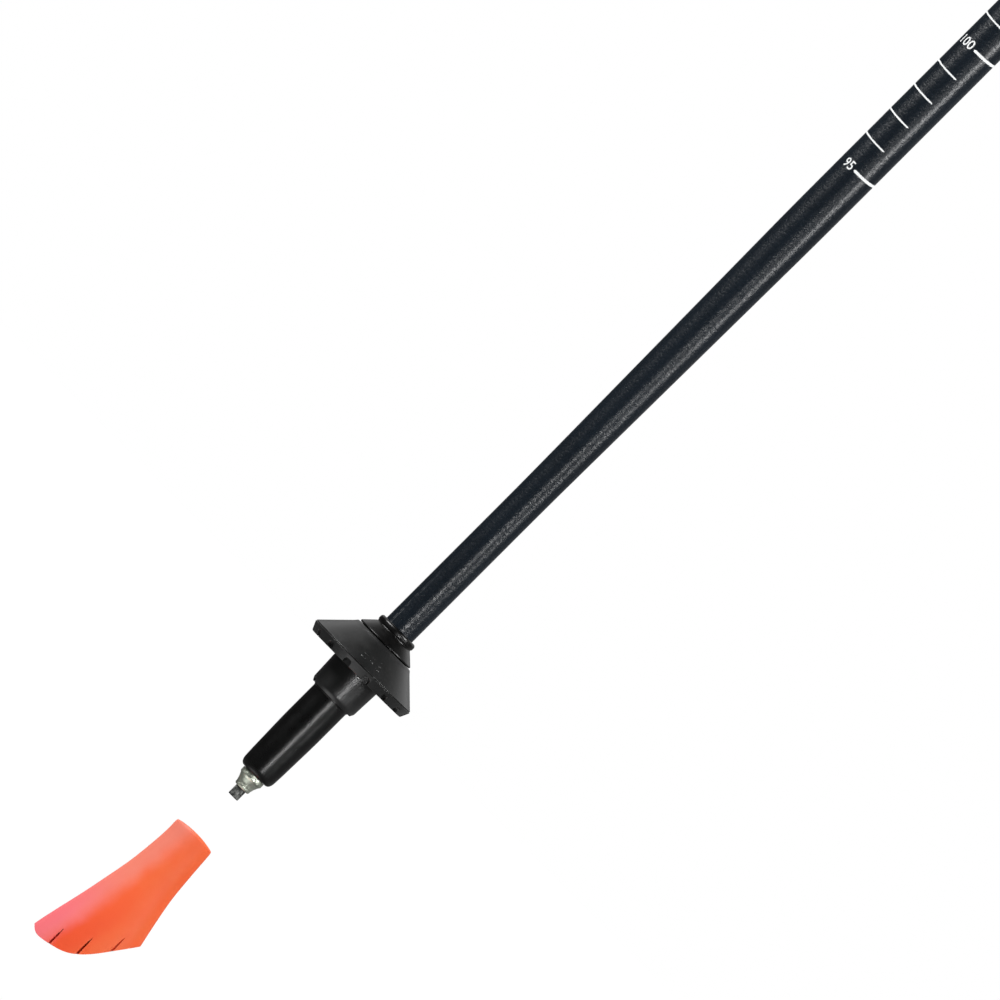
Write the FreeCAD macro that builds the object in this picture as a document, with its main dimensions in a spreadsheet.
import FreeCAD, Part
import math
import os

import Sketcher

# Telescopic pole with a carbide tip, a bell basket, a lever lock, a grip with a wrist strap and a loose
# rubber boot. Millimetres. +Z runs up the shaft, the origin is the end of the carbide tip, +X is the front
# of the pole (the way its user walks) and -X is the side that the strap leaves.

SIZES = {
    # tip: hard-metal pin in a steel cup
    "pin_radius": 1.825,
    "pin_dimple": 0.5,
    "cup_start": 3.5,
    "cup_nose_radius": 2.5,
    "cup_waist_radius": 2.75,
    "cup_radius": 4.0,
    "cup_top": 8.9,
    "shank_radius": 3.0,
    "shank_top": 27.0,
    # ferrule with its land, basket seat, hub cone and top ring
    "ferrule_start": 9.0,
    "ferrule_nose_radius": 4.7,
    "ferrule_low_radius": 5.95,
    "land_start": 28.0,
    "land_top": 40.6,
    "land_radius": 6.475,
    "seat_radius": 6.66,
    "bead_height": 46.0,
    "bead_radius": 7.1,
    "hub_start": 63.3,
    "hub_radius": 10.1,
    "hub_top": 66.9,
    "ring_radius": 6.85,
    "ring_top": 69.4,
    "socket_start": 45.0,
    # basket
    "collar_start": 41.0,
    "collar_radius": 8.25,
    "collar_top_radius": 8.6,
    "rim_start": 51.3,
    "rim_radius": 18.2,
    "brim_height": 54.3,
    "brim_radius": 19.5,
    "bell_top": 62.2,
    "bell_top_radius": 11.4,
    "bell_wall": 1.9,
    "rim_notches": 15,
    "notch_width": 3.0,
    "notch_depth": 2.0,
    "basket_ribs": 5,
    "rib_thickness": 1.4,
    # tubes
    "taper_start": 126.0,
    "taper_top": 239.0,
    "shaft_foot_radius": 5.225,
    "shaft_radius": 6.5,
    "shaft_top": 700.0,
    "shaft_wall": 0.9,
    "outer_radius": 8.0,
    "outer_bore_radius": 7.0,
    "outer_top": 1036.0,
    "running_gap": 0.07,
    # plug and guide bush
    "plug_depth": 20.0,
    "flange_height": 2.0,
    "spigot_radius": 4.0,
    "bush_length": 14.0,
    "bush_slit": 1.2,
    "barb_radius": 4.7,
    "barb_height": 3.0,
    # lever lock, closed at the reading edge
    "lock_edge": 360.0,
    "lip_height": 2.0,
    "lock_height": 38.0,
    "lock_radius": 10.6,
    "lock_slit": 1.6,
    "ear_half_width": 3.6,
    "ear_reach": 20.4,
    "ear_start": 366.0,
    "ear_height": 26.0,
    "pivot_front": 10.0,
    "pivot_side": 15.5,
    "barrel_radius": 2.45,
    "cam_radius": 4.5,
    "cam_throw": 0.8,
    "cam_gap": 0.05,
    "lever_gap": 0.5,
    "lever_thickness": 2.6,
    "lever_height": 23.0,
    "screw_radius": 1.5,
    "wheel_radius": 4.4,
    "wheel_width": 4.5,
    "wheel_grooves": 12,
    "sleeve_height": 30.0,
    # grip
    "grip_start": 900.0,
    "collar_height": 6.0,
    "handle_top": 1008.0,
    "head_top": 1047.6,
    "pole_length": 1050.0,
    "slot_centre": 1041.4,
    "slot_height": 8.4,
    "slot_width": 21.0,
    "slot_end": 6.0,
    "slot_mouth": -30.0,
    "strap_pin_radius": 1.5,
    "strap_pin_length": 24.0,
    "strap_pin_place": 1.0,
    "strap_end_back": 18.6,
    "strap_end_front": 1.0,
    "strap_width": 20.0,
    "strap_thickness": 1.8,
    "wedge_height": 3.6,
    "wedge_back": 16.4,
    "wedge_front": 4.0,
    # wrist loop, hanging at the back
    "loop_hinge_back": 23.0,
    "loop_hinge_drop": 4.5,
    "loop_centre_back": 47.0,
    "loop_centre_height": 905.0,
    "loop_radius": 28.0,
    # rubber boot, off the pole
    "boot_top": -15.3,
    "boot_bore_radius": 6.55,
    "boot_seat_radius": 6.2,
    "boot_bore_depth": 37.5,
    "boot_land_depth": 9.0,
    "washer_thickness": 1.5,
    "cleat_width": 1.1,
    "cleat_depth": 5.6,
}

DOC = FreeCAD.newDocument("walking_pole")
SHEET = DOC.addObject("Spreadsheet::Sheet", "Sizes")
for row, (alias, number) in enumerate(SIZES.items(), start=1):
    SHEET.set(f"A{row}", alias)
    SHEET.set(f"B{row}", str(number))
    SHEET.setAlias(f"B{row}", alias)
DOC.recompute()

HALF = 0.5
PIECES = []
CUT_REACH = 20.0  # how far a cutter reaches past the boot
SOLE_ARC = ((12.0, 35.0), (2.2, 47.8), (-14.4, 53.2))  # X and drop below the mouth at heel, middle and toe
CLEAT_SLOTS = ((-7.9, -68.2), (0.1, -64.6), (6.7, -57.4))  # X and Z of each slot's foot at the sole


class Size:
    """A length together with the expression on the sheet's cells that gives it."""

    def __init__(self, value, text):
        self.value = value
        self.text = text

    def __add__(self, other):
        other = as_size(other)
        return Size(self.value + other.value, f"({self.text} + {other.text})")

    def __sub__(self, other):
        other = as_size(other)
        return Size(self.value - other.value, f"({self.text} - {other.text})")

    def __mul__(self, other):
        other = as_size(other)
        return Size(self.value * other.value, f"({self.text} * {other.text})")

    def __neg__(self):
        return Size(-self.value, f"(-{self.text})")


def as_size(thing):
    """A named cell, a plain number or a Size, as a Size."""
    if isinstance(thing, Size):
        return thing
    if isinstance(thing, str):
        return Size(float(SIZES[thing]), f"Sizes.{thing}")
    return Size(float(thing), f"({float(thing)})")


def size(name):
    return as_size(name)


def new_body(name):
    body = DOC.addObject("PartDesign::Body", name)
    body.Label = name
    PIECES.append(body)
    return body


def sketch_on(body, name, role, lift=0.0):
    """An empty sketch on one of the body's own origin planes, moved along the plane's normal by lift."""
    sketch = body.newObject("Sketcher::SketchObject", name)
    plane = [f for f in body.Origin.OriginFeatures if f.Role == role][0]
    sketch.AttachmentSupport = [(plane, "")]
    sketch.MapMode = "FlatFace"
    lift = as_size(lift)
    sketch.AttachmentOffset = FreeCAD.Placement(FreeCAD.Vector(0, 0, lift.value), FreeCAD.Rotation())
    sketch.setExpression("AttachmentOffset.Base.z", lift.text)
    return sketch


def hold(sketch, kind, geometry, point, value):
    """Ties one coordinate of a sketch point to the sheet."""
    value = as_size(value)
    index = sketch.addConstraint(Sketcher.Constraint(kind, -1, 1, geometry, point, value.value))
    sketch.setExpression(f"Constraints[{index}]", value.text)


def outline(sketch, points):
    """A closed outline of straight edges, with every corner held to the sheet."""
    points = [(as_size(x), as_size(y)) for x, y in points]
    corners = [FreeCAD.Vector(x.value, y.value, 0) for x, y in points]
    count = len(corners)
    first = sketch.GeometryCount
    for i in range(count):
        sketch.addGeometry(Part.LineSegment(corners[i], corners[(i + 1) % count]), False)
    for i in range(count):
        following = first + (i + 1) % count
        sketch.addConstraint(Sketcher.Constraint("Coincident", first + i, 2, following, 1))
    for i, (x, y) in enumerate(points):
        hold(sketch, "DistanceX", first + i, 1, x)
        hold(sketch, "DistanceY", first + i, 1, y)
    return sketch


def circle(sketch, x, y, radius):
    x, y, radius = as_size(x), as_size(y), as_size(radius)
    centre = FreeCAD.Vector(x.value, y.value, 0)
    index = sketch.addGeometry(Part.Circle(centre, FreeCAD.Vector(0, 0, 1), radius.value), False)
    hold(sketch, "DistanceX", index, 3, x)
    hold(sketch, "DistanceY", index, 3, y)
    ring = sketch.addConstraint(Sketcher.Constraint("Radius", index, radius.value))
    sketch.setExpression(f"Constraints[{ring}]", radius.text)
    return sketch


def turned(name, points):
    """A body turned about Z from an outline of radius and height."""
    body = new_body(name)
    sketch = outline(sketch_on(body, name + "_outline", "XZ_Plane"), points)
    turn = body.newObject("PartDesign::Revolution", name + "_turn")
    turn.Profile = sketch
    turn.ReferenceAxis = (sketch, ["V_Axis"])
    turn.Angle = 360
    sketch.Visibility = False
    DOC.recompute()
    return body


def grown(body, kind, sketch, length, both_ways=True, backwards=False):
    """Pads or pockets a sketch, and raises if the body's volume didn't change the right way."""
    before = body.Shape.Volume if body.Shape and not body.Shape.isNull() else 0.0
    feature = body.newObject("PartDesign::" + kind, sketch.Name + "_" + kind.lower())
    feature.Profile = sketch
    feature.SideType = "Symmetric" if both_ways else "One side"
    feature.Reversed = backwards
    length = as_size(length)
    feature.Length = length.value
    feature.setExpression("Length", length.text)
    sketch.Visibility = False
    DOC.recompute()
    added = body.Shape.Volume - before
    if (added > 0) != (kind == "Pad") or abs(added) < 1e-3:
        raise RuntimeError(f"{feature.Name} changed the volume by {added:.3f}")
    return feature


def repeated(body, feature, count):
    """Repeats a feature round Z."""
    pattern = body.newObject("PartDesign::PolarPattern", feature.Name + "_round")
    pattern.Originals = [feature]
    axis = [f for f in body.Origin.OriginFeatures if f.Role == "Z_Axis"][0]
    pattern.Axis = (axis, [""])
    pattern.Angle = 360
    pattern.Occurrences = int(SIZES[count])
    pattern.setExpression("Occurrences", f"Sizes.{count}")
    body.Tip = pattern
    DOC.recompute()
    return pattern


def ellipse(name, height, half_x, half_y, centre_x):
    """A level ellipse, longer along X than along Y."""
    ring = DOC.addObject("Part::Ellipse", name)
    ring.MajorRadius = half_x
    ring.MinorRadius = half_y
    ring.Placement = FreeCAD.Placement(FreeCAD.Vector(centre_x, 0, 0), FreeCAD.Rotation())
    height = as_size(height)
    ring.setExpression("Placement.Base.z", height.text)
    ring.Visibility = False
    return ring


def lofted(name, sections):
    """A closed loft through level ellipses, given as height, half lengths along X and Y, and centre in X."""
    rings = [ellipse(f"{name}_ring_{i}", *section) for i, section in enumerate(sections)]
    loft = DOC.addObject("Part::Loft", name)
    loft.Sections = rings
    loft.Solid = True
    loft.Ruled = False
    DOC.recompute()
    return loft


def cylinder(name, radius, start, length):
    """A cylinder round Z, used as a cutter."""
    tool = DOC.addObject("Part::Cylinder", name)
    for prop, value in (("Radius", radius), ("Height", length), ("Placement.Base.z", start)):
        tool.setExpression(prop, as_size(value).text)
    tool.Visibility = False
    return tool


def box(name, low, high):
    """An upright box between two corners, used as a cutter or as a piece."""
    block = DOC.addObject("Part::Box", name)
    low = [as_size(v) for v in low]
    high = [as_size(v) for v in high]
    for axis, prop, start, end in zip("xyz", ("Length", "Width", "Height"), low, high):
        block.setExpression(prop, (end - start).text)
        block.setExpression(f"Placement.Base.{axis}", start.text)
    block.Visibility = False
    return block


def cut(name, base, tools, piece=False):
    """Cuts every tool from a shape in turn. The last result takes the name."""
    made = base
    for i, tool in enumerate(tools):
        last = i == len(tools) - 1
        step = DOC.addObject("Part::Cut", name if last else f"{name}_step_{i}")
        step.Base = made
        step.Tool = tool
        made = step
        DOC.recompute()
    if piece:
        made.Label = name
        PIECES.append(made)
    return made


# ---------------------------------------------------------------- tip and ferrule


def make_carbide_tip():
    """The hard-metal pin: its end is hollow, so that its rim bites."""
    edge = size("pin_radius") * 0.7
    seat_top = size("cup_top") + 0.6
    turned(
        "carbide_tip",
        [
            (0, size("pin_dimple")),
            (edge, 0),
            (size("pin_radius"), 0),
            (size("pin_radius"), seat_top),
            (0, seat_top),
        ],
    )


def make_tip_cup():
    """The steel cup that holds the pin, with its shank in the ferrule."""
    bore = size("pin_radius") + 0.01
    seat_top = size("cup_top") + 0.62
    turned(
        "tip_cup",
        [
            (bore, size("cup_start")),
            (size("cup_nose_radius") - 0.4, size("cup_start")),
            (size("cup_nose_radius"), size("cup_start") + 0.5),
            (size("cup_waist_radius"), size("cup_start") + 2.0),
            (size("cup_radius") - 0.4, size("cup_top") - 1.4),
            (size("cup_radius"), size("cup_top") - 1.0),
            (size("cup_radius"), size("cup_top")),
            (size("shank_radius"), size("cup_top")),
            (size("shank_radius"), size("shank_top")),
            (0, size("shank_top")),
            (0, seat_top),
            (bore, seat_top),
        ],
    )


def make_tip_ferrule():
    """The ferrule: a slim nose, a straight land, the basket's seat and bead, and the hub with its ring."""
    shank_bore = size("shank_radius") + 0.01
    shaft_bore = size("shaft_foot_radius") + 0.01
    bead_half = 1.0
    turned(
        "tip_ferrule",
        [
            (shank_bore, size("ferrule_start")),
            (size("ferrule_nose_radius"), size("ferrule_start")),
            (size("ferrule_nose_radius") + 0.75, size("ferrule_start") + 0.45),
            (size("ferrule_low_radius"), size("ferrule_start") + 1.6),
            (size("ferrule_low_radius") + 0.15, size("ferrule_start") + 5.0),
            (size("land_radius"), size("land_start")),
            (size("land_radius"), size("land_top")),
            (size("seat_radius"), size("land_top")),
            (size("seat_radius"), size("bead_height") - bead_half),
            (size("bead_radius"), size("bead_height") - bead_half * HALF),
            (size("bead_radius"), size("bead_height") + bead_half * HALF),
            (size("seat_radius"), size("bead_height") + bead_half),
            (size("seat_radius"), size("hub_start")),
            (size("hub_radius"), size("hub_start")),
            (size("hub_radius"), size("hub_start") + 0.5),
            (size("ring_radius") + 0.05, size("hub_top")),
            (size("ring_radius"), size("hub_top") + 0.3),
            (size("ring_radius"), size("ring_top") - 0.4),
            (size("ring_radius") - 0.4, size("ring_top")),
            (shaft_bore, size("ring_top")),
            (shaft_bore, size("socket_start")),
            (0, size("socket_start")),
            (0, size("shank_top")),
            (shank_bore, size("shank_top")),
        ],
    )


def make_trail_basket():
    """The basket: a collar on the ferrule and a bell with a notched rim and ribs inside."""
    gap = size("running_gap")
    bore = size("seat_radius") + gap
    groove = size("bead_radius") + gap
    groove_half = 1.3
    under = size("brim_radius") - size("bell_wall")
    inside_top = size("bell_top") - size("bell_wall")
    body = turned(
        "trail_basket",
        [
            (bore, size("collar_start")),
            (size("collar_radius") - 0.7, size("collar_start")),
            (size("collar_radius"), size("collar_start") + 1.2),
            (size("collar_top_radius"), size("rim_start") - 0.9),
            (size("collar_top_radius"), inside_top),
            (size("bell_top_radius") - size("bell_wall"), inside_top),
            (under, size("brim_height") - 0.6),
            (size("rim_radius") - size("bell_wall"), size("rim_start")),
            (size("rim_radius"), size("rim_start")),
            (size("brim_radius"), size("brim_height")),
            (size("bell_top_radius"), size("bell_top")),
            (size("bell_top_radius") - 1.0, size("bell_top") + 0.5),
            (bore, size("bell_top") + 0.5),
            (bore, size("bead_height") + groove_half),
            (groove, size("bead_height") + groove_half - 0.3),
            (groove, size("bead_height") - groove_half + 0.3),
            (bore, size("bead_height") - groove_half),
        ],
    )
    # ribs between the collar and the bell, drawn in the XZ plane
    rib = outline(
        sketch_on(body, "basket_rib", "XZ_Plane"),
        [
            (size("collar_top_radius") - 0.3, size("rim_start") + 1.0),
            (size("rim_radius") - size("bell_wall") + 0.3, size("rim_start") + 1.0),
            (size("rim_radius") - size("bell_wall") + 0.3, size("rim_start") + 1.9),
            (size("collar_top_radius") + 1.0, inside_top + 0.3),
            (size("collar_top_radius") - 0.3, inside_top + 0.3),
        ],
    )
    ribs = grown(body, "Pad", rib, "rib_thickness")
    repeated(body, ribs, "basket_ribs")
    # rim notches, cut upwards through the wall
    notch = outline(
        sketch_on(body, "rim_notch", "YZ_Plane", size("rim_radius")),
        [
            (-size("notch_width") * HALF, size("rim_start") - 1.0),
            (size("notch_width") * HALF, size("rim_start") - 1.0),
            (size("notch_width") * 0.3, size("rim_start") + size("notch_depth")),
            (-size("notch_width") * 0.3, size("rim_start") + size("notch_depth")),
        ],
    )
    cutter = grown(body, "Pocket", notch, 6.0)
    repeated(body, cutter, "rim_notches")


# ---------------------------------------------------------------- tubes


def make_lower_shaft():
    """The inner tube, tapered towards the tip."""
    foot_bore = size("shaft_foot_radius") - size("shaft_wall")
    bore = size("shaft_radius") - size("shaft_wall")
    turned(
        "lower_shaft",
        [
            (foot_bore, size("socket_start")),
            (size("shaft_foot_radius"), size("socket_start")),
            (size("shaft_foot_radius"), size("taper_start")),
            (size("shaft_radius"), size("taper_top")),
            (size("shaft_radius"), size("shaft_top")),
            (bore, size("shaft_top")),
            (bore, size("taper_top")),
            (foot_bore, size("taper_start")),
        ],
    )


def make_end_plug():
    """The plug in the inner tube's upper end, with the spigot and barb that hold the guide bush."""
    inside = size("shaft_radius") - size("shaft_wall") - 0.02
    spigot_top = size("shaft_top") + size("flange_height") + size("bush_length") + 0.4
    turned(
        "end_plug",
        [
            (0, size("shaft_top") - size("plug_depth")),
            (inside - 0.6, size("shaft_top") - size("plug_depth")),
            (inside, size("shaft_top") - size("plug_depth") + 1.0),
            (inside, size("shaft_top") + 0.01),
            (size("shaft_radius"), size("shaft_top") + 0.01),
            (size("shaft_radius"), size("shaft_top") + size("flange_height")),
            (size("spigot_radius"), size("shaft_top") + size("flange_height")),
            (size("spigot_radius"), spigot_top),
            (size("barb_radius"), spigot_top),
            (size("barb_radius") - 1.2, spigot_top + size("barb_height")),
            (0, spigot_top + size("barb_height")),
        ],
    )


def make_guide_bush():
    """The split bush that centres the inner tube in the outer one."""
    start = size("shaft_top") + size("flange_height") + 0.2
    bore = size("spigot_radius") + size("running_gap")
    outside = size("outer_bore_radius") - size("running_gap")
    chamfer = 0.8
    body = turned(
        "guide_bush",
        [
            (bore, start),
            (outside - chamfer, start),
            (outside, start + chamfer),
            (outside, start + size("bush_length") - chamfer),
            (outside - chamfer, start + size("bush_length")),
            (bore, start + size("bush_length")),
        ],
    )
    slit = outline(
        sketch_on(body, "bush_slit_cut", "XY_Plane", start - 1.0),
        [
            (0, -size("bush_slit") * HALF),
            (size("outer_bore_radius") + 1.0, -size("bush_slit") * HALF),
            (size("outer_bore_radius") + 1.0, size("bush_slit") * HALF),
            (0, size("bush_slit") * HALF),
        ],
    )
    grown(body, "Pocket", slit, size("bush_length") + 2.0, both_ways=False, backwards=True)


def slit_through(body, name, start, height):
    """Cuts the clamp's slit through a tube wall on the +Y side."""
    sketch = outline(
        sketch_on(body, name, "XY_Plane", start),
        [
            (-size("lock_slit") * HALF, 2.0),
            (size("lock_slit") * HALF, 2.0),
            (size("lock_slit") * HALF, size("ear_reach") + 2.0),
            (-size("lock_slit") * HALF, size("ear_reach") + 2.0),
        ],
    )
    grown(body, "Pocket", sketch, height, both_ways=False, backwards=True)


def make_upper_shaft():
    """The outer tube, slit where the lock closes it."""
    start = size("lock_edge") + size("lip_height") + 0.1
    body = turned(
        "upper_shaft",
        [
            (size("outer_bore_radius"), start),
            (size("outer_radius"), start),
            (size("outer_radius"), size("outer_top")),
            (size("outer_bore_radius"), size("outer_top")),
        ],
    )
    slit_through(body, "upper_slit", start - 1.0, size("lock_height") - 2.0)


def make_collet_sleeve():
    """The thin sleeve that takes up the space between the tubes at the lock."""
    start = size("lock_edge") + size("lip_height") + 0.1
    body = turned(
        "collet_sleeve",
        [
            (size("shaft_radius") + size("running_gap"), start),
            (size("outer_bore_radius") - 0.01, start),
            (size("outer_bore_radius") - 0.01, start + size("sleeve_height")),
            (size("shaft_radius") + size("running_gap"), start + size("sleeve_height")),
        ],
    )
    slit_through(body, "sleeve_slit", start - 1.0, size("sleeve_height") + 2.0)


# ---------------------------------------------------------------- lever lock


def lock_middle():
    return size("ear_start") + size("ear_height") * HALF


def make_clamp_body():
    """The split collar: a lip under the outer tube, a ring round it and two ears."""
    lip_bore = size("shaft_radius") + size("running_gap") * 2
    tube_bore = size("outer_radius") + 0.01
    top = size("lock_edge") + size("lock_height")
    body = turned(
        "clamp_body",
        [
            (lip_bore, size("lock_edge")),
            (size("lock_radius") - 1.6, size("lock_edge")),
            (size("lock_radius"), size("lock_edge") + 3.0),
            (size("lock_radius"), top - 2.4),
            (size("lock_radius") - 1.2, top),
            (tube_bore, top),
            (tube_bore, size("lock_edge") + size("lip_height")),
            (lip_bore, size("lock_edge") + size("lip_height")),
        ],
    )
    ears = outline(
        sketch_on(body, "clamp_ears", "XY_Plane", lock_middle()),
        [
            (-size("ear_half_width"), 8.6),
            (size("ear_half_width"), 8.6),
            (size("ear_half_width"), size("ear_reach")),
            (-size("ear_half_width"), size("ear_reach")),
        ],
    )
    grown(body, "Pad", ears, "ear_height")
    slit_through(body, "clamp_slit", size("lock_edge") - 1.0, size("lock_height") + 2.0)
    hole = circle(
        sketch_on(body, "clamp_screw_hole", "YZ_Plane"),
        size("pivot_side"),
        lock_middle(),
        size("screw_radius") + 0.1,
    )
    grown(body, "Pocket", hole, 20.0)


def make_cam_plate():
    """The wear plate between the ear and the cam, with the screw's hole."""
    body = new_body("cam_plate")
    face = size("ear_half_width") + 0.02
    back = size("pivot_front") - size("cam_radius") - size("cam_throw") - size("cam_gap")
    sketch = outline(
        sketch_on(body, "plate_outline", "XY_Plane", lock_middle()),
        [
            (face, size("pivot_side") - 4.2),
            (back, size("pivot_side") - 4.2),
            (back, size("pivot_side") + 4.2),
            (face, size("pivot_side") + 4.2),
        ],
    )
    grown(body, "Pad", sketch, 20.0)
    hole = circle(
        sketch_on(body, "plate_hole", "YZ_Plane"),
        size("pivot_side"),
        lock_middle(),
        size("screw_radius") + 0.2,
    )
    grown(body, "Pocket", hole, 20.0)


def make_barrel_pin():
    """The pin that the lever turns on, cross-drilled for the screw."""
    body = new_body("barrel_pin")
    sketch = circle(
        sketch_on(body, "barrel_outline", "XY_Plane", lock_middle()),
        size("pivot_front"),
        size("pivot_side"),
        size("barrel_radius"),
    )
    grown(body, "Pad", sketch, size("lever_height") + 1.0)
    hole = outline(
        sketch_on(body, "barrel_hole", "XY_Plane", lock_middle()),
        [
            (size("pivot_front") - 4.0, size("pivot_side") - size("screw_radius") - 0.03),
            (size("pivot_front") + 1.6, size("pivot_side") - size("screw_radius") - 0.03),
            (size("pivot_front") + 1.6, size("pivot_side") + size("screw_radius") + 0.03),
            (size("pivot_front") - 4.0, size("pivot_side") + size("screw_radius") + 0.03),
        ],
    )
    grown(body, "Pocket", hole, size("screw_radius") * 2 + 0.06)


def make_lock_lever():
    """The cam lever: an eccentric round the barrel and a handle wrapped round the collar."""
    body = new_body("lock_lever")
    inner = size("lock_radius") + size("lever_gap")
    outer = inner + size("lever_thickness")
    cam = circle(
        sketch_on(body, "lever_cam", "XY_Plane", lock_middle()),
        size("pivot_front") - size("cam_throw"),
        size("pivot_side"),
        size("cam_radius"),
    )
    grown(body, "Pad", cam, "lever_height")
    handle = sketch_on(body, "lever_handle", "XY_Plane", lock_middle())
    add_ring_sector(handle, inner, outer, math.radians(-52), math.radians(56))
    grown(body, "Pad", handle, "lever_height")
    root = outline(
        sketch_on(body, "lever_root", "XY_Plane", lock_middle()),
        [
            (6.4, 9.6),
            (10.6, 8.6),
            (size("pivot_front") + size("cam_radius") - size("cam_throw"), size("pivot_side")),
            (size("pivot_front") - size("cam_throw"), size("pivot_side")),
        ],
    )
    grown(body, "Pad", root, "lever_height")
    bore = circle(
        sketch_on(body, "lever_bore", "XY_Plane", lock_middle()),
        size("pivot_front"),
        size("pivot_side"),
        size("barrel_radius") + size("running_gap"),
    )
    grown(body, "Pocket", bore, size("lever_height") + 2.0)
    window = outline(
        sketch_on(body, "lever_window", "XY_Plane", lock_middle()),
        [
            (size("pivot_front") - 9.0, size("pivot_side") - size("screw_radius") - 0.4),
            (size("pivot_front") + 9.0, size("pivot_side") - size("screw_radius") - 0.4),
            (size("pivot_front") + 9.0, size("pivot_side") + 9.0),
            (size("pivot_front") - 9.0, size("pivot_side") + 9.0),
        ],
    )
    grown(body, "Pocket", window, size("screw_radius") * 2 + 0.8)


def add_ring_sector(sketch, inner, outer, start, end):
    """A sector between two arcs about the sketch's origin."""
    up = FreeCAD.Vector(0, 0, 1)
    middle = FreeCAD.Vector(0, 0, 0)
    arcs = []
    for radius in (inner, outer):
        arc = Part.ArcOfCircle(Part.Circle(middle, up, radius.value), start, end)
        arcs.append(sketch.addGeometry(arc, False))
    for radius, arc in zip((inner, outer), arcs):
        sketch.addConstraint(Sketcher.Constraint("Coincident", arc, 3, -1, 1))
        index = sketch.addConstraint(Sketcher.Constraint("Radius", arc, radius.value))
        sketch.setExpression(f"Constraints[{index}]", radius.text)
    for point, angle in ((1, start), (2, end)):
        ends = [
            FreeCAD.Vector(radius.value * math.cos(angle), radius.value * math.sin(angle), 0)
            for radius in (inner, outer)
        ]
        line = sketch.addGeometry(Part.LineSegment(ends[0], ends[1]), False)
        sketch.addConstraint(Sketcher.Constraint("Coincident", line, 1, arcs[0], point))
        sketch.addConstraint(Sketcher.Constraint("Coincident", line, 2, arcs[1], point))
        sketch.addConstraint(Sketcher.Constraint("Angle", line, angle))


def make_tension_screw():
    """The screw along X through both ears into the barrel."""
    body = new_body("tension_screw")
    start = -size("ear_half_width") - size("wheel_width") + 0.5
    end = size("pivot_front") + 1.4
    sketch = circle(
        sketch_on(body, "screw_outline", "YZ_Plane", start),
        size("pivot_side"),
        lock_middle(),
        size("screw_radius"),
    )
    grown(body, "Pad", sketch, end - start, both_ways=False)


def make_thumb_wheel():
    """The grooved wheel fixed on the screw's head end."""
    body = new_body("thumb_wheel")
    start = -size("ear_half_width") - size("wheel_width") - 0.1
    rim = circle(
        sketch_on(body, "wheel_outline", "YZ_Plane", start),
        size("pivot_side"),
        lock_middle(),
        size("wheel_radius"),
    )
    grown(body, "Pad", rim, "wheel_width", both_ways=False)
    seat = circle(
        sketch_on(body, "wheel_seat", "YZ_Plane", start + 0.6),
        size("pivot_side"),
        lock_middle(),
        size("screw_radius") + 0.01,
    )
    grown(body, "Pocket", seat, size("wheel_width") + 1.0, both_ways=False, backwards=True)
    grooves = sketch_on(body, "wheel_grooves_cut", "YZ_Plane", start)
    count = int(SIZES["wheel_grooves"])
    for i in range(count):
        angle = 2 * math.pi * i / count
        circle(
            grooves,
            size("pivot_side") + size("wheel_radius") * math.cos(angle),
            lock_middle() + size("wheel_radius") * math.sin(angle),
            0.55,
        )
    grown(body, "Pocket", grooves, size("wheel_width") * 2 + 1.0)


# ---------------------------------------------------------------- grip and strap


def make_grip_collar():
    turned(
        "grip_collar",
        [
            (size("outer_radius") + 0.01, size("grip_start")),
            (size("outer_radius") + 2.0, size("grip_start")),
            (size("outer_radius") + 3.8, size("grip_start") + 2.0),
            (size("outer_radius") + 3.8, size("grip_start") + size("collar_height") - 0.1),
            (size("outer_radius") + 0.01, size("grip_start") + size("collar_height") - 0.1),
        ],
    )


def make_grip_sleeve():
    """The soft handle, with two swells for the fingers."""
    foot = size("grip_start") + size("collar_height")
    top = size("handle_top")
    handle = lofted(
        "handle_form",
        [
            (foot, 12.6, 11.8, 0.0),
            (foot + 20.0, 14.4, 12.8, 0.8),
            (foot + 46.0, 13.0, 12.0, 0.2),
            (foot + 72.0, 14.8, 13.0, 0.8),
            (foot + 92.0, 13.8, 12.6, 0.4),
            (top, 14.2, 12.9, 0.8),
        ],
    )
    bore = cylinder("handle_bore", size("outer_radius") + 0.01, foot - 1.0, top - foot + 2.0)
    cut("grip_sleeve", handle, [bore], piece=True)


def make_grip_head():
    """The hard head, leaning forwards, with a blind bore for the tube and the strap's slot at the back."""
    start = size("handle_top") + 0.1
    top = size("head_top")
    head = lofted(
        "head_form",
        [
            (start, 14.4, 13.0, 0.8),
            (start + 10.0, 16.8, 13.8, 1.4),
            (start + 24.0, 20.0, 15.0, 2.2),
            (start + 34.0, 19.0, 14.4, 3.0),
            (top, 14.0, 10.4, 3.4),
        ],
    )
    bore = cylinder(
        "head_bore", size("outer_radius") + 0.01, start - 1.0, size("outer_top") - start + 1.05
    )
    slot_low = size("slot_centre") - size("slot_height") * HALF
    slot_high = size("slot_centre") + size("slot_height") * HALF
    slot = box(
        "head_slot",
        ["slot_mouth", -size("slot_width") * HALF, slot_low],
        ["slot_end", size("slot_width") * HALF, slot_high],
    )
    pin_hole = cross_rod("head_pin_hole", size("strap_pin_radius") + 0.01, size("strap_pin_length") + 2.0)
    cut("grip_head", head, [bore, slot, pin_hole], piece=True)


def cross_rod(name, radius, length):
    """A rod along Y, centred, where the strap's ends turn round it."""
    rod = DOC.addObject("Part::Cylinder", name)
    rod.Placement = FreeCAD.Placement(FreeCAD.Vector(0, 0, 0), FreeCAD.Rotation(FreeCAD.Vector(1, 0, 0), 90))
    height = size("slot_centre") - size("slot_height") * HALF + size("strap_thickness") + 0.3
    for prop, value in (
        ("Radius", radius),
        ("Height", length),
        ("Placement.Base.x", size("strap_pin_place")),
        ("Placement.Base.y", length * HALF),
        ("Placement.Base.z", height),
    ):
        rod.setExpression(prop, value.text)
    rod.Visibility = False
    return rod


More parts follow.
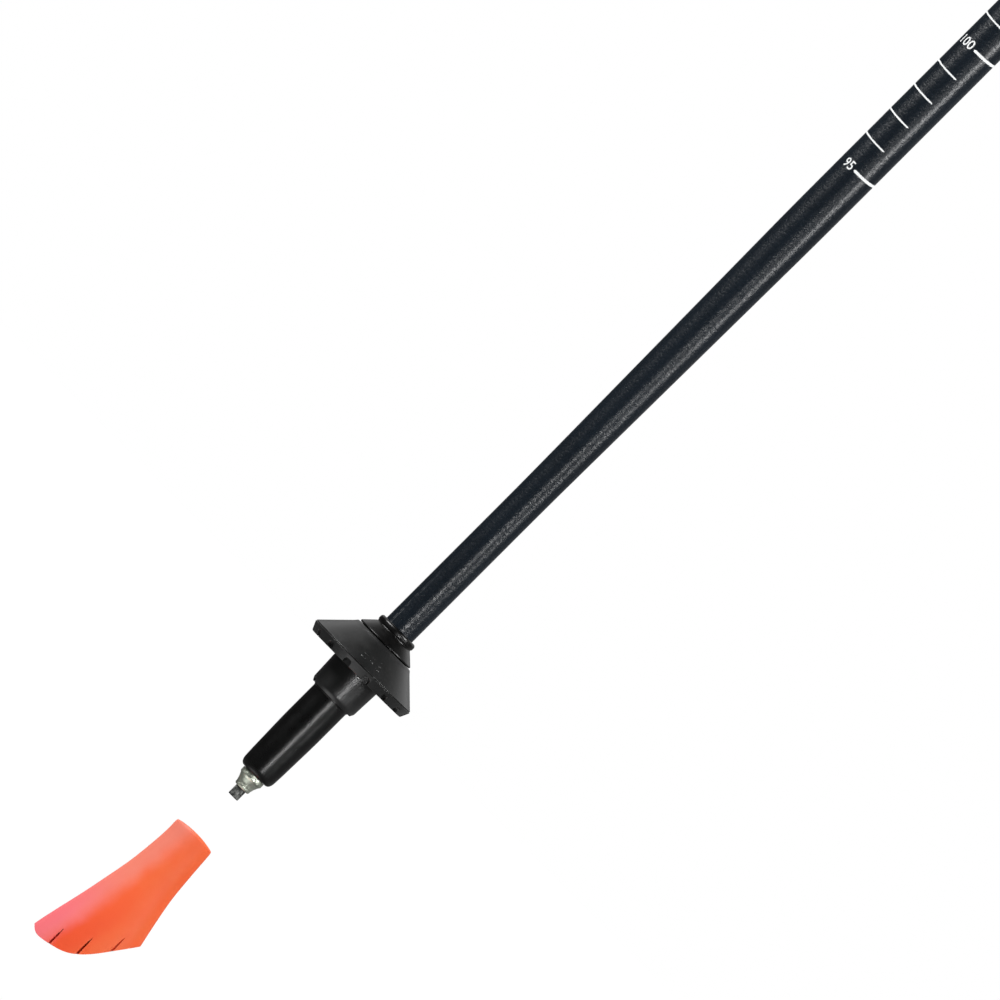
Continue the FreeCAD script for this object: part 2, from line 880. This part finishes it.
def make_strap_pin():
    pin = cross_rod("strap_pin", size("strap_pin_radius"), size("strap_pin_length"))
    pin.Label = "strap_pin"
    PIECES.append(pin)


def make_grip_cap():
    """The soft insert on the head's top."""
    start = size("head_top") + 0.05
    cap = lofted(
        "grip_cap",
        [
            (start, 13.0, 9.6, 3.4),
            (size("pole_length") - 0.8, 12.2, 8.8, 3.4),
            ("pole_length", 9.5, 6.4, 3.4),
        ],
    )
    cap.Label = "grip_cap"
    PIECES.append(cap)


def make_strap_anchor():
    """The strap's two ends, one on the other, from the pin to the mouth of the slot."""
    low = size("slot_centre") - size("slot_height") * HALF + 0.2
    ends = box(
        "strap_anchor",
        [-size("strap_end_back"), -size("strap_width") * HALF, low],
        [-size("strap_end_front"), size("strap_width") * HALF, low + size("strap_thickness") * 2],
    )
    ends.Label = "strap_anchor"
    PIECES.append(ends)


def make_strap_wedge():
    """The wedge above the strap. It slides out of the slot to free the strap."""
    low = size("slot_centre") - size("slot_height") * HALF + 0.2 + size("strap_thickness") * 2 + 0.1
    body = new_body("strap_wedge")
    front = -size("wedge_front")
    back = size("wedge_back")
    sketch = outline(
        sketch_on(body, "wedge_outline", "XZ_Plane"),
        [
            (-back, low),
            (front, low),
            (front, low + size("wedge_height") - 0.9),
            (-back + 2.6, low + size("wedge_height")),
            (-back, low + size("wedge_height")),
        ],
    )
    grown(body, "Pad", sketch, size("strap_width") - 1.0)


def make_hand_strap():
    """The wrist loop: a drop-shaped band hanging from the mouth of the slot."""
    body = new_body("hand_strap")
    sketch = sketch_on(body, "loop_outline", "XZ_Plane")
    half = size("strap_thickness") * HALF
    add_drop(sketch, size("loop_radius") + half, half.value)
    add_drop(sketch, size("loop_radius") - half, -half.value)
    grown(body, "Pad", sketch, "strap_width")


def add_drop(sketch, radius, grow):
    """A round lower end and two straight sides that meet at the hinge, all moved outwards by grow."""
    centre = FreeCAD.Vector(-SIZES["loop_centre_back"], SIZES["loop_centre_height"], 0)
    hinge = FreeCAD.Vector(-SIZES["loop_hinge_back"], SIZES["slot_centre"] - SIZES["loop_hinge_drop"], 0)
    along = hinge - centre
    reach = along.Length
    half_angle = math.asin(SIZES["loop_radius"] / reach)
    apex = hinge + FreeCAD.Vector(along).normalize() * (grow / math.sin(half_angle))
    heading = math.atan2(along.y, along.x)
    spread = math.pi / 2 - half_angle
    points = [
        centre + FreeCAD.Vector(math.cos(heading + turn), math.sin(heading + turn), 0) * radius.value
        for turn in (spread, -spread)
    ]
    circle_curve = Part.Circle(centre, FreeCAD.Vector(0, 0, 1), radius.value)
    arc = sketch.addGeometry(
        Part.ArcOfCircle(circle_curve, heading + spread, heading - spread + 2 * math.pi), False
    )
    first = sketch.addGeometry(Part.LineSegment(apex, points[0]), False)
    second = sketch.addGeometry(Part.LineSegment(points[1], apex), False)
    sketch.addConstraint(Sketcher.Constraint("Coincident", first, 1, second, 2))
    sketch.addConstraint(Sketcher.Constraint("Tangent", first, 2, arc, 1))
    sketch.addConstraint(Sketcher.Constraint("Tangent", arc, 2, second, 1))
    hold(sketch, "DistanceX", arc, 3, -size("loop_centre_back"))
    hold(sketch, "DistanceY", arc, 3, size("loop_centre_height"))
    index = sketch.addConstraint(Sketcher.Constraint("Radius", arc, radius.value))
    sketch.setExpression(f"Constraints[{index}]", radius.text)
    hold(sketch, "DistanceX", first, 1, apex.x)
    hold(sketch, "DistanceY", first, 1, apex.y)


# ---------------------------------------------------------------- boot


def make_rubber_boot():
    """The boot: a round mouth that widens to an oblong foot with a slanted, rounded and slotted sole."""
    top = size("boot_top")
    form = lofted(
        "boot_form",
        [
            (top, 7.2, 7.2, 0.2),
            (top - 9.7, 7.6, 7.55, 0.35),
            (top - 19.1, 8.5, 8.3, 0.36),
            (top - 28.5, 10.2, 9.3, 0.37),
            (top - 36.7, 11.8, 10.2, 0.4),
            (top - 45.0, 13.4, 10.9, 0.2),
            (top - 56.7, 15.4, 11.2, -0.2),
        ],
    )
    slots = []
    for i, (place, height) in enumerate(CLEAT_SLOTS):
        slots.append(
            box(
                f"cleat_slot_{i}",
                [size("cleat_width") * -HALF + place, -CUT_REACH, -size("cleat_depth") + height],
                [size("cleat_width") * HALF + place, CUT_REACH, size("cleat_depth") + height],
            )
        )
    cut("rubber_boot", form, [sole_cutter(top.value), boot_bore(top), *slots], piece=True)


def sole_cutter(top):
    """Everything under the sole: an arc from heel to toe, with a short rise beyond each end."""
    heel, middle, toe = (FreeCAD.Vector(x, -CUT_REACH, top - drop) for x, drop in SOLE_ARC)
    beyond = FreeCAD.Vector(CUT_REACH, 0, 0)
    rise = FreeCAD.Vector(0, 0, SIZES["cleat_depth"])
    deep = FreeCAD.Vector(0, 0, -CUT_REACH)
    lowest = toe + deep
    corners = [heel + beyond + rise, heel, toe, toe - beyond + rise, lowest - beyond, lowest + beyond * 2]
    edges = [
        Part.LineSegment(corners[0], heel).toShape(),
        Part.Arc(heel, middle, toe).toShape(),
        *[Part.LineSegment(a, b).toShape() for a, b in zip(corners[2:], corners[3:] + corners[:1])],
    ]
    sole = DOC.addObject("Part::Feature", "sole_cutter")
    sole.Shape = Part.Face(Part.Wire(edges)).extrude(FreeCAD.Vector(0, 2 * CUT_REACH, 0))
    return sole


def boot_bore(top):
    """The cutter of the boot's socket: straight at the mouth, then slightly tapered to the washer's seat."""
    bore = DOC.addObject("Part::Feature", "boot_bore")
    mouth, seat = SIZES["boot_bore_radius"], SIZES["boot_seat_radius"]
    land = top.value - SIZES["boot_land_depth"]
    taper_end = top.value - 22.0
    floor = top.value - SIZES["boot_bore_depth"]
    points = [
        (0, floor),
        (seat, floor),
        (seat, taper_end),
        (mouth, land),
        (mouth, top.value + 1.0),
        (0, top.value + 1.0),
    ]
    wire = Part.makePolygon([FreeCAD.Vector(r, 0, z) for r, z in points + points[:1]])
    bore.Shape = Part.Face(wire).revolve(FreeCAD.Vector(0, 0, 0), FreeCAD.Vector(0, 0, 1), 360)
    return bore


def make_boot_washer():
    """The steel washer at the bottom of the socket."""
    floor = size("boot_top") - size("boot_bore_depth")
    radius = size("boot_seat_radius") - 0.02
    turned(
        "boot_washer",
        [
            (0, floor + 0.02),
            (radius, floor + 0.02),
            (radius, floor + size("washer_thickness")),
            (0, floor + size("washer_thickness")),
        ],
    )


def write_pieces():
    """Checks every object, then writes each piece to its own file."""
    DOC.recompute()
    for thing in DOC.Objects:
        if "Invalid" in thing.State or "Error" in thing.State:
            raise RuntimeError(f"{thing.Label} failed: {thing.State}")
    os.makedirs("parts", exist_ok=True)
    for piece in PIECES:
        shape = piece.Shape
        if shape.isNull() or not shape.isValid() or len(shape.Solids) != 1:
            raise RuntimeError(f"{piece.Label} isn't one valid solid")
        shape.exportStep(f"parts/{piece.Label}.step")
        print(f"{piece.Label}: {shape.Volume / 1000:.3f} cm3")


make_carbide_tip()
make_tip_cup()
make_tip_ferrule()
make_trail_basket()
make_lower_shaft()
make_end_plug()
make_guide_bush()
make_upper_shaft()
make_collet_sleeve()
make_clamp_body()
make_cam_plate()
make_barrel_pin()
make_lock_lever()
make_tension_screw()
make_thumb_wheel()
make_grip_collar()
make_grip_sleeve()
make_grip_head()
make_grip_cap()
make_strap_pin()
make_strap_anchor()
make_strap_wedge()
make_hand_strap()
make_rubber_boot()
make_boot_washer()
write_pieces()
